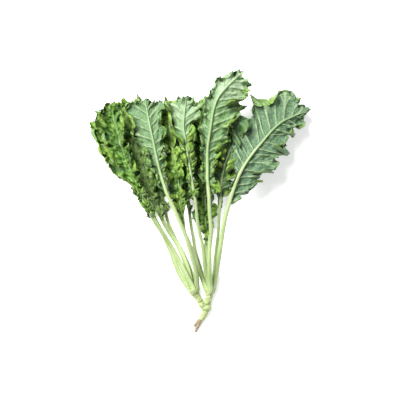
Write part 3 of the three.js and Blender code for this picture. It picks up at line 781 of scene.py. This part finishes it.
def make_blade(leaf):
    blade = copy_of(grid, "kale_blade_" + leaf["name"][-2:])
    flat = places_of(blade)
    even = -flat[:, 0]
    across = np.sign(even) * (1 - (1 - abs(even)) ** DRAWN_OUT)
    share = (flat[:, 1] + 1) / 2
    side = np.where(across < 0, -1.0, 1.0)
    length = vein_length(leaf, share, side)
    move_places(blade, blade_places(leaf, share, across))
    remember(blade, "veins", vein_count(leaf, share, side))
    remember(blade, "reach", abs(across))
    remember(blade, "out", abs(across) * length)
    remember(blade, "crest", crest_of(leaf, share, across))
    # A yellower tone over the whole blade, which on some lower leaves also stands as painted light against the
    # shade of the leaves above, and a bluer tone.
    for word in ("yellow_and_painted_light", "shade"):
        remember(blade, word, np.full(len(share), leaf.get(word, 0.0)))
    # Painted light: a painted highlight towards the tip of a turned leaf, and painted light over the lower
    # blade of the others, where the leaves above shade it.
    towards_tip = ease(share, 0.62, 0.82)
    remember(blade, "pale", leaf.get("pale", 0) * (towards_tip if leaf["turned"] else 1 - towards_tip))
    set_flat_map(blade, across * length / 10, share * leaf["blade"] / 10)
    choose(blade)
    bpy.ops.object.mode_set(mode="EDIT")
    bpy.ops.mesh.select_all(action="SELECT")
    bpy.ops.mesh.remove_doubles(threshold=0.00001)
    bpy.ops.object.mode_set(mode="OBJECT")
    blade.data.materials.append(None)  # a place for the finish of the upper face
    blade.data.materials.append(None)  # and of the lower one
    sheet = blade.modifiers.new("thickness", "SOLIDIFY")
    sheet.thickness = BLADE_THICKNESS
    sheet.offset = 0
    sheet.material_offset = 1
    bpy.ops.object.modifier_apply(modifier=sheet.name)
    blade.data.shade_smooth()
    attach(blade, "root")
    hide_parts(leaf["name"] + "_blade")
    return blade


for leaf in LEAVES:
    leaf["piece"] = make_blade(leaf)
    print(leaf["piece"].name, len(leaf["piece"].data.polygons), "faces")
bpy.data.objects.remove(grid)

# %% [markdown]
# ## The blade's finish
# The upper side is a waxy mid green that turns yellower at the curls, with a painted highlight on their
# crests. The underside is greyer, with a net of paler veins. The main veins follow the count that each
# point remembers, their forks run beside them, and the smallest veins are the edges of a cell pattern drawn
# in centimetres on the leaf. Blisters a few millimetres wide get a painted highlight on their tops and
# painted shade between them, and the hollows get painted shade, darker than the crests. Painting a picture
# would fix the detail at one size, and these sums stay sharp.

# %% Blade finish
BLUE_GREEN = tint(88, 132, 96)


def make_blade_finish(name, tints, net_share, vein_share, painted_blister_light_and_bump, rough):
    face, deep, edge, vein, pale = tints
    finish = Finish(name, Roughness=rough, Subsurface_Weight=0.12, Subsurface_Scale=0.002)
    finish.shader.inputs["Subsurface Radius"].default_value = (0.6, 1.0, 0.25)
    count = finish.reads("veins")
    reach = finish.reads("reach")
    out = finish.reads("out")
    place = finish.object_place()
    flat = finish.flat_place()
    off = count.sum("PINGPONG", count, 0.5)
    off_main = off * VEIN_PITCH
    gap = reach.between(0.25, 1.0) * FORK_SPREAD
    off_fork = abs(off - gap) * VEIN_PITCH
    main = 1 - off_main.between(0.25, 1.0)
    fork = (1 - off_fork.between(0.12, 0.55)) * reach.between(0.28, 0.4)
    fade = 1 - reach.between(0.75, 1.0)
    cells = finish.node("TexVoronoi", {"feature": "DISTANCE_TO_EDGE"}, {"Vector": flat, "Scale": 2.3})
    fine_cells = finish.node("TexVoronoi", {"feature": "DISTANCE_TO_EDGE"}, {"Vector": flat, "Scale": 6.5})
    net = (1 - cells.between(0.02, 0.10)) * 0.8
    net = net.or_((1 - fine_cells.between(0.02, 0.12)) * 0.4)
    veins = main.or_(fork * 0.8) * (0.35 + 0.65 * fade)
    broad = finish.noise(place, 22, 3)
    mottle = finish.noise(place, 160, 4, 0.6)
    blisters = finish.noise(place, 190, 2, 0.4)
    colour = finish.mix(broad.between(0.35, 0.65) * 0.6 + 0.4, deep, face)
    # Yellower patches, which on some lower leaves also serve as painted light where the leaves above shade
    # them.
    colour = finish.mix(finish.reads("yellow_and_painted_light") * broad.between(0.3, 0.55), colour, edge)
    # Painted light: a paler colour that stands for a tip in full light, or for a lower blade lifted out of the
    # shade of the leaves above.
    colour = finish.mix(finish.reads("pale") * 0.85, colour, pale)
    # Painted shade between the blisters and a painted highlight on their tops, besides their bump.
    colour = finish.mix((0.5 - blisters).between(0.0, 0.14) * painted_blister_light_and_bump, colour, deep)
    colour = finish.mix((blisters - 0.5).between(0.02, 0.16) * painted_blister_light_and_bump * 0.8, colour, edge)
    colour = finish.mix((mottle - 0.5).between(-0.15, 0.2) * 0.35, colour, edge)
    # Near the margin the curls turn yellower, and lighter on their crests as a painted highlight.
    crest = finish.reads("crest")
    margin = reach.between(0.55, 1.0) * (0.4 + 0.6 * broad.between(0.4, 0.6)) * crest.between(-0.4, 0.5)
    # Painted shade in the blade's hollows, weaker where painted light lies.
    hollow = (0 - crest).between(-0.05, 0.45) * (0.95 - 0.55 * finish.reads("pale"))
    colour = finish.mix(hollow, colour, deep)
    colour = finish.mix(margin * 0.9, colour, edge)
    colour = finish.mix(finish.reads("shade") * (1 - margin), colour, BLUE_GREEN)
    colour = finish.mix(net * net_share, colour, vein)
    colour = finish.mix(veins * vein_share, colour, vein)
    colour = finish.mix((1 - out.between(0.8, 2.4)) * mottle * 0.6, colour, vein)
    height = net * -0.3 + mottle * 0.4 + fine_cells * 0.8 + blisters * (6 * painted_blister_light_and_bump)
    return finish.complete(colour, height, 0.001, 0.7)


# In each list: the face, a darker tone that also is painted shade in hollows and between blisters, the
# yellower margin that also is a painted highlight on crests and blister tops, the veins, and the colour of
# painted light.
upper_tints = [tint(112, 174, 62), tint(38, 88, 20), tint(174, 214, 84),
               tint(176, 210, 136), tint(172, 212, 130)]
under_tints = [tint(141, 188, 130), tint(76, 130, 66), tint(136, 186, 72),
               tint(200, 226, 170), tint(220, 241, 213)]
upper_green = make_blade_finish("kale_upperside", upper_tints, 0.06, 0.12, painted_blister_light_and_bump=0.6, rough=0.45)
under_green = make_blade_finish("kale_underside", under_tints, 0.45, 0.7, painted_blister_light_and_bump=0.25, rough=0.6)
for leaf in LEAVES:
    faces = (under_green, upper_green) if leaf["turned"] else (upper_green, under_green)
    for number, face in enumerate(faces):
        leaf["piece"].data.materials[number] = face
print("finishes:", upper_green.name, under_green.name)

# %% [markdown]
# ## Stalks and side veins
# A leaf stalk is round below and flat or grooved above, and it runs on as the midrib, whose edges carry the
# blade. One straight rod is modelled by extruding a circle and cutting its long edges. A curve with a bevel
# would bend as well, but its section could not change from petiole to midrib. Side veins stand out on a
# leaf's underside, so the leaves that lie turned get a thinner rod for every side vein and fork. On the
# other leaves the underside is hidden, and the veins are left to the finish.

# %% Two straight rods
def make_rod(name, sides, cuts):
    """A round rod from z 0 to 1, with its long edges cut again and again."""
    deselect()
    bpy.ops.mesh.primitive_circle_add(vertices=sides, radius=1, fill_type="NGON")
    rod = bpy.context.object
    rod.name = name
    bpy.ops.object.mode_set(mode="EDIT")
    bpy.ops.mesh.select_all(action="SELECT")
    bpy.ops.mesh.extrude_region_move(TRANSFORM_OT_translate={"value": (0, 0, 1)})
    bpy.ops.mesh.select_mode(type="EDGE")
    for count in cuts:
        bpy.ops.object.mode_set(mode="OBJECT")
        heights = places_of(rod)[:, 2]
        ends = np.empty(len(rod.data.edges) * 2, np.int32)
        rod.data.edges.foreach_get("vertices", ends)
        ends = ends.reshape(-1, 2)
        long = abs(heights[ends[:, 0]] - heights[ends[:, 1]]) > 1e-4
        rod.data.vertices.foreach_set("select", np.zeros(len(heights), bool))
        rod.data.polygons.foreach_set("select", np.zeros(len(rod.data.polygons), bool))
        rod.data.edges.foreach_set("select", long)
        bpy.ops.object.mode_set(mode="EDIT")
        bpy.ops.mesh.subdivide(number_cuts=count)
    bpy.ops.mesh.select_all(action="SELECT")
    bpy.ops.mesh.normals_make_consistent(inside=False)
    bpy.ops.object.mode_set(mode="OBJECT")
    rings = len(np.unique(places_of(rod)[:, 2].round(5)))
    print(name, "rings:", rings, "points:", len(rod.data.vertices))
    return rod


stalk_rod = make_rod("stalk_rod", 48, (11, 10))
vein_rod = make_rod("vein_rod", 8, (12,))

# %% Shape the stalks
STALK_TIP = 3.0  # a midrib fades out this far before the leaf's tip
FLARE = 0.18  # how much wider a stalk is at its foot
MIDRIB_SLIMNESS = 0.2  # how much slimmer than its solid a midrib is
ROOT_DEPTH = 8.0  # how far a stalk's root runs into the stem


def make_stalk(leaf):
    stalk = copy_of(stalk_rod, "kale_stalk_" + leaf["name"][-2:])
    rod = places_of(stalk)
    plan = leaf["plan"]
    distance = rod[:, 2] * (plan.length - STALK_TIP + ROOT_DEPTH) - ROOT_DEPTH
    inside = np.minimum(distance, 0)
    distance = np.maximum(distance, 0)
    foot = plan.length - leaf["blade"]
    turn = np.arctan2(rod[:, 1], rod[:, 0])
    onward = ease(distance / plan.length, 0.45, 0.85)
    radius = stalk_radius(leaf, distance) * (1 - MIDRIB_SLIMNESS * onward)
    radius = radius * (1 + FLARE * np.exp(-distance / 9)) * (1 - 0.45 * ease(-inside, 0, ROOT_DEPTH))
    radius = radius * (1 + 0.05 * rumple(distance / 14, 0 * distance, leaf["seed"] + 5))
    radius = radius * (0.22 + 0.78 * np.sqrt(np.clip((plan.length - STALK_TIP - distance) / 34, 0, 1)))
    ridges = 1 + 0.035 * np.cos(9 * turn + 2 * rumple(distance / 40, 0 * distance, leaf["seed"] + 6))
    aside = rod[:, 0] * radius * ridges
    deep = rod[:, 1] * radius * ridges
    flat_side = rod[:, 1] < -0.5
    on_blade = ease(distance, foot - 2, foot + 10)
    proud = (BLADE_SEAT + 0.42) * on_blade * ease(-rod[:, 1], 0.5, 0.62)
    groove = radius * (0.3 - 0.2 * on_blade) * (1 - np.clip(rod[:, 0] / 0.8, -1, 1) ** 2)
    deep = np.where(flat_side, -radius / 2 - proud + groove * ease(-rod[:, 1], 0.5, 0.7), deep)
    along = plan.along(distance)
    flat = plan.at(distance) + along * inside[:, None] + left_of(along) * aside[:, None] + leaf["shift"]
    height = lift_of(leaf, distance) + (deep if leaf["turned"] else -deep)
    move_places(stalk, np.concatenate([flat, height[:, None]], axis=1) * MM)
    remember(stalk, "onward", onward)
    set_flat_map(stalk, aside / 10, (distance + inside) / 10)
    return stalk


def make_vein(leaf, share, across, start, end):
    """A thin rod along the blade's underside, through places given as shares and reaches."""
    vein = copy_of(vein_rod, "side_vein")
    rod = places_of(vein)
    part = rod[:, 2]
    steps = np.linspace(0, 1, len(share))
    u, s = np.interp(part, steps, share), np.interp(part, steps, across)
    middle = blade_places(leaf, u, s)
    ahead = blade_places(leaf, np.clip(u + 0.002, 0, 1), s) - blade_places(leaf, np.clip(u - 0.002, 0, 1), s)
    nudge = 0.01 * np.sign(s)
    beside = blade_places(leaf, u, s + nudge) - blade_places(leaf, u, s - nudge)
    normal = np.cross(beside, ahead) * np.sign(s)[:, None]
    normal /= np.linalg.norm(normal, axis=1, keepdims=True)
    under = normal if leaf["turned"] else -normal
    beside /= np.linalg.norm(beside, axis=1, keepdims=True)
    width = np.cross(beside, normal)
    radius = (start + (end - start) * part) * MM
    middle = middle + under * (0.22 * MM + 0.75 * radius)[:, None]
    bent = middle + width * (rod[:, 0] * radius)[:, None] + under * (rod[:, 1] * radius * 1.1)[:, None]
    move_places(vein, bent)
    remember(vein, "onward", np.ones(len(part)))
    set_flat_map(vein, rod[:, 0] * radius / MM / 10, part * 3)
    return vein


def make_side_veins(leaf):
    veins = []
    last = int(leaf["blade"] / VEIN_PITCH)
    for side in (1, -1):
        for number in range(1, last + 1):
            share = (number - (0 if side > 0 else 0.5)) * VEIN_PITCH / leaf["blade"]
            if not 0.05 < share < 0.96:
                continue
            length = float(vein_length(leaf, np.array([share]), np.array([float(side)]))[0])
            if length < 8:
                continue
            start = min(0.9, 0.035 * length) * leaf["width"] / 6
            veins.append(make_vein(leaf, [share, share], [0.02 * side, 0.9 * side], start, 0.22))
            reaches = np.linspace(0.25, 0.93, 8)
            for way in (1, -1):
                shares = share + way * fork_gap(reaches) * VEIN_PITCH / leaf["blade"]
                if shares.max() < 0.99:
                    veins.append(make_vein(leaf, shares, side * reaches, start * 0.55, 0.16))
    return veins


total = 0
for leaf in LEAVES:
    stalk = make_stalk(leaf)
    veins = make_side_veins(leaf) if leaf["turned"] else []
    total += len(veins)
    deselect()
    for vein in veins:
        vein.select_set(True)
    stalk.select_set(True)
    bpy.context.view_layer.objects.active = stalk
    bpy.ops.object.join()
    bpy.ops.object.mode_set(mode="EDIT")
    bpy.ops.mesh.select_all(action="SELECT")
    bpy.ops.mesh.normals_make_consistent(inside=False)
    bpy.ops.object.mode_set(mode="OBJECT")
    stalk.data.shade_smooth()
    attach(stalk, "root")
    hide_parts(leaf["name"] + "_stalk")
    leaf["stalk"] = stalk
print("side veins:", total)
bpy.data.objects.remove(stalk_rod)
bpy.data.objects.remove(vein_rod)

# %% Stalk finish
stalk_skin = Finish("kale_stalk_skin", Roughness=0.42, Subsurface_Weight=0.15, Subsurface_Scale=0.002)
stalk_skin.shader.inputs["Subsurface Radius"].default_value = (0.7, 1.0, 0.3)
lengthwise = stalk_skin.node("Mapping", None, {"Vector": stalk_skin.flat_place(), "Scale": (14, 0.5, 1)})
streak = stalk_skin.noise(lengthwise, 1.6, 4, 0.6)
patches = stalk_skin.noise(stalk_skin.object_place(), 35, 3)
fleck = stalk_skin.noise(stalk_skin.object_place(), 420, 2)
skin = stalk_skin.mix(streak.between(0.3, 0.7), tint(198, 230, 134), tint(238, 248, 206))
skin = stalk_skin.mix(patches.between(0.35, 0.7) * 0.5, skin, tint(166, 206, 106))
skin = stalk_skin.mix(fleck.between(0.62, 0.75) * 0.25, skin, tint(225, 234, 196))
skin = stalk_skin.mix(stalk_skin.reads("onward") * 0.75, skin, tint(172, 206, 148))
stalk_skin.complete(skin, streak + fleck * 0.2, 0.0005, 0.5)
for leaf in LEAVES:
    leaf["stalk"].data.materials.append(stalk_skin.material)
print("stalks:", len(LEAVES))

# %% [markdown]
# ## Stem
# The stem is the top of the plant: two limbs, swollen where leaves grow, with scars where older leaves were.
# Its solid has sockets for the stalks. Here bent rods and round knuckles are joined, and a voxel remesh
# melts them into one skin, as living tissue grows together. Booleans would leave sharp seams. The torn foot
# is melted from two rods in the same way, with deeper ridges for its fibres.

# %% Stem form
LIMBS = [
    [(0.5, -168, 5, 3.8, 3.8), (3.5, -163.8, 5.2, 4.3, 4.3), (7, -156.8, 6, 4.9, 4.8),
     (8.8, -151, 6.2, 5.8, 5.4), (10.5, -144, 6.6, 4.9, 5), (12, -137, 7.2, 4.8, 5.6),
     (13, -130, 8.2, 6.2, 7.4), (13.4, -124, 8.9, 7.4, 8.8), (13.4, -120.4, 9, 6.8, 8.2)],
    [(7, -153, 6.2, 5, 5), (3.4, -147.5, 6.2, 4.9, 5), (0, -141.5, 6.4, 4.6, 5), (-4.4, -135, 7.2, 4.8, 5.6),
     (-8.2, -129, 8.4, 6.6, 7.4), (-10.2, -124, 9.2, 7.8, 9), (-10.6, -120.4, 9.3, 7.2, 8.4)],
]
KNUCKLES = [(2.2, -146, 6.2, 5.6), (9.6, -150.5, 6.4, 6.2)]
SPLINTERS = [
    [(0.1, -168.4, 5, 3.5, 3.5), (-3.6, -176.5, 4.4, 2.7, 2.4), (-7.6, -185.2, 3.4, 1.8, 1.5)],
    [(-0.6, -168.6, 5, 3.2, 3.2), (-5.2, -172.4, 5.2, 2.3, 2), (-9.6, -177.2, 5.4, 1.5, 1.3)],
]
SHIFT = np.array([*np.mean([leaf["shift"] for leaf in LEAVES], axis=0), 0])
limb_rod = make_rod("limb_rod", 72, (11, 5))


def bend_rod(name, points, shape=None):
    """A copy of the rod, bent along points that also hold half its width and height."""
    piece = copy_of(limb_rod, name)
    rod = places_of(piece)
    points = np.array(points, float)
    route = Route(points[:, :3])
    knots = np.array([route.distances[np.argmin(np.linalg.norm(route.places - p, axis=1))]
                      for p in points[:, :3]])
    distance = rod[:, 2] * route.length
    width = np.interp(distance, knots, points[:, 3])
    depth = np.interp(distance, knots, points[:, 4])
    if shape is not None:
        factor = shape(rod, distance)
        width, depth = width * factor, depth * factor
    along = route.along(distance)
    left = np.stack([-along[:, 1], along[:, 0], 0 * distance], axis=1)
    left /= np.linalg.norm(left, axis=1, keepdims=True)
    across = np.cross(along, left)
    bent = route.at(distance) + left * (rod[:, 0] * width)[:, None] + across * (rod[:, 1] * depth)[:, None]
    move_places(piece, (bent + SHIFT) * MM)
    return piece


def ridged(seed, depth=0.03):
    def shape(rod, distance):
        turn = np.arctan2(rod[:, 1], rod[:, 0])
        lines = np.cos(11 * turn + 1.5 * rumple(distance / 12, 0 * distance, seed))
        return 1 + depth * lines + 0.05 * rumple(2 * turn + 20, distance / 5, seed + 1)
    return shape


def melt(pieces, name, voxel, passes):
    """Joins pieces into one skin."""
    deselect()
    for piece in pieces:
        piece.select_set(True)
    bpy.context.view_layer.objects.active = pieces[0]
    bpy.ops.object.join()
    piece = bpy.context.object
    piece.name = piece.data.name = name
    remesh = piece.modifiers.new("skin", "REMESH")
    remesh.mode = "VOXEL"
    remesh.voxel_size = voxel
    bpy.ops.object.modifier_apply(modifier=remesh.name)
    soften = piece.modifiers.new("soften", "SMOOTH")
    soften.factor = 0.5
    soften.iterations = passes
    bpy.ops.object.modifier_apply(modifier=soften.name)
    piece.data.shade_smooth()
    return piece


stem_parts = [bend_rod("limb_%d" % i, limb, ridged(40 + i)) for i, limb in enumerate(LIMBS)]
for x, y, z, radius in KNUCKLES:
    deselect()
    bpy.ops.mesh.primitive_ico_sphere_add(subdivisions=4, radius=radius * MM,
                                          location=(np.array([x, y, z]) + SHIFT) * MM)
    bpy.ops.object.transform_apply(location=True, rotation=True, scale=True)
    knuckle = bpy.context.object
    stem_parts.append(knuckle)
stem = melt(stem_parts, "kale_stem", 0.5 * MM, 3)

foot_parts = [bend_rod("splinter_%d" % i, points, ridged(60 + i, 0.09)) for i, points in enumerate(SPLINTERS)]
torn_foot = melt(foot_parts, "kale_torn_foot", 0.35 * MM, 1)
bpy.data.objects.remove(limb_rod)
print("stem faces:", len(stem.data.polygons), "foot faces:", len(torn_foot.data.polygons))

# %% [markdown]
# ## Creases of the stem
# Where leaves grew, a narrow crease rings the stem. It is pressed into the finished skin, because a crease
# in the rods would be smoothed away with their seams. Each point remembers how deep in a crease it lies,
# and the finish paints shade into the creases.

# %% Creases
# In each row: a place on the stem's middle line, its direction, and how far to both sides the creases are.
CREASES = [((2.2, -146, 6.2), (0.55, -0.83, 0), 4.2), ((9.6, -150.5, 6.4), (-0.2, -0.98, 0), 4.6),
           ((13.4, -122.6, 8.9), (0, 1, 0), 0), ((-10.2, -122.6, 9.2), (-0.3, 0.95, 0), 0),
           ((12.6, -134, 7.6), (0.1, 1, 0), 0), ((-6.6, -132, 7.8), (-0.5, 0.86, 0), 0)]
places = places_of(stem) / MM - SHIFT
CREASE_WIDTH, CREASE_DEPTH, CREASE_REACH = 0.75, 0.1, 13
painted_crease_shade = np.zeros(len(places))
for centre, direction, offset in CREASES:
    from_centre = places - centre
    along = from_centre @ np.array(direction)
    near = np.linalg.norm(from_centre, axis=1) < CREASE_REACH
    ring = near * np.exp(-(((abs(along) - offset) / CREASE_WIDTH) ** 2))
    aside = from_centre - along[:, None] * np.array(direction)
    places = places - aside * (CREASE_DEPTH * ring)[:, None]
    painted_crease_shade = np.maximum(painted_crease_shade, ring)
move_places(stem, (places + SHIFT) * MM)
remember(stem, "painted_crease_shade", painted_crease_shade)
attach(stem, "root")
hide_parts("stem")
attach(torn_foot, "root")
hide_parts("torn_foot")
print("points in creases:", int((painted_crease_shade > 0.5).sum()))

# %% Stem finish
stem_skin = Finish("kale_stem_skin", Roughness=0.5, Subsurface_Weight=0.12, Subsurface_Scale=0.002)
place = stem_skin.object_place()
lengthwise = stem_skin.node("Mapping", None, {"Vector": place, "Scale": (1, 0.16, 1)})
streak = stem_skin.noise(lengthwise, 900, 4, 0.6)
patches = stem_skin.noise(place, 120, 3)
skin = stem_skin.mix(streak.between(0.35, 0.65), tint(196, 222, 132), tint(238, 246, 190))
skin = stem_skin.mix(patches.between(0.45, 0.7) * 0.5, skin, tint(168, 196, 112))
# Painted shade in the creases, in patches.
skin = stem_skin.mix(stem_skin.reads("painted_crease_shade") * patches.between(0.35, 0.55), skin, tint(128, 152, 74))
stem.data.materials.append(stem_skin.complete(skin, streak, 0.0006, 0.6))

torn = Finish("kale_torn_fibre", Roughness=0.85)
place = torn.object_place()
lengthwise = torn.node("Mapping", None, {"Vector": place, "Rotation": (0, 0, -0.45), "Scale": (1, 0.12, 1)})
fibre = torn.noise(lengthwise, 1400, 4, 0.6)
skin = torn.mix(fibre.between(0.35, 0.65), tint(158, 138, 92), tint(226, 216, 182))
torn_foot.data.materials.append(torn.complete(skin, fibre, 0.0008, 0.8))
print("finishes:", stem_skin.material.name, torn.material.name)

# %% Measure and finish
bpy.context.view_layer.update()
triangles = [len(piece.data.loops) - 2 * len(piece.data.polygons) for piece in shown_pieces()]
print("triangles:", sum(triangles), "the most in one piece:", max(triangles))
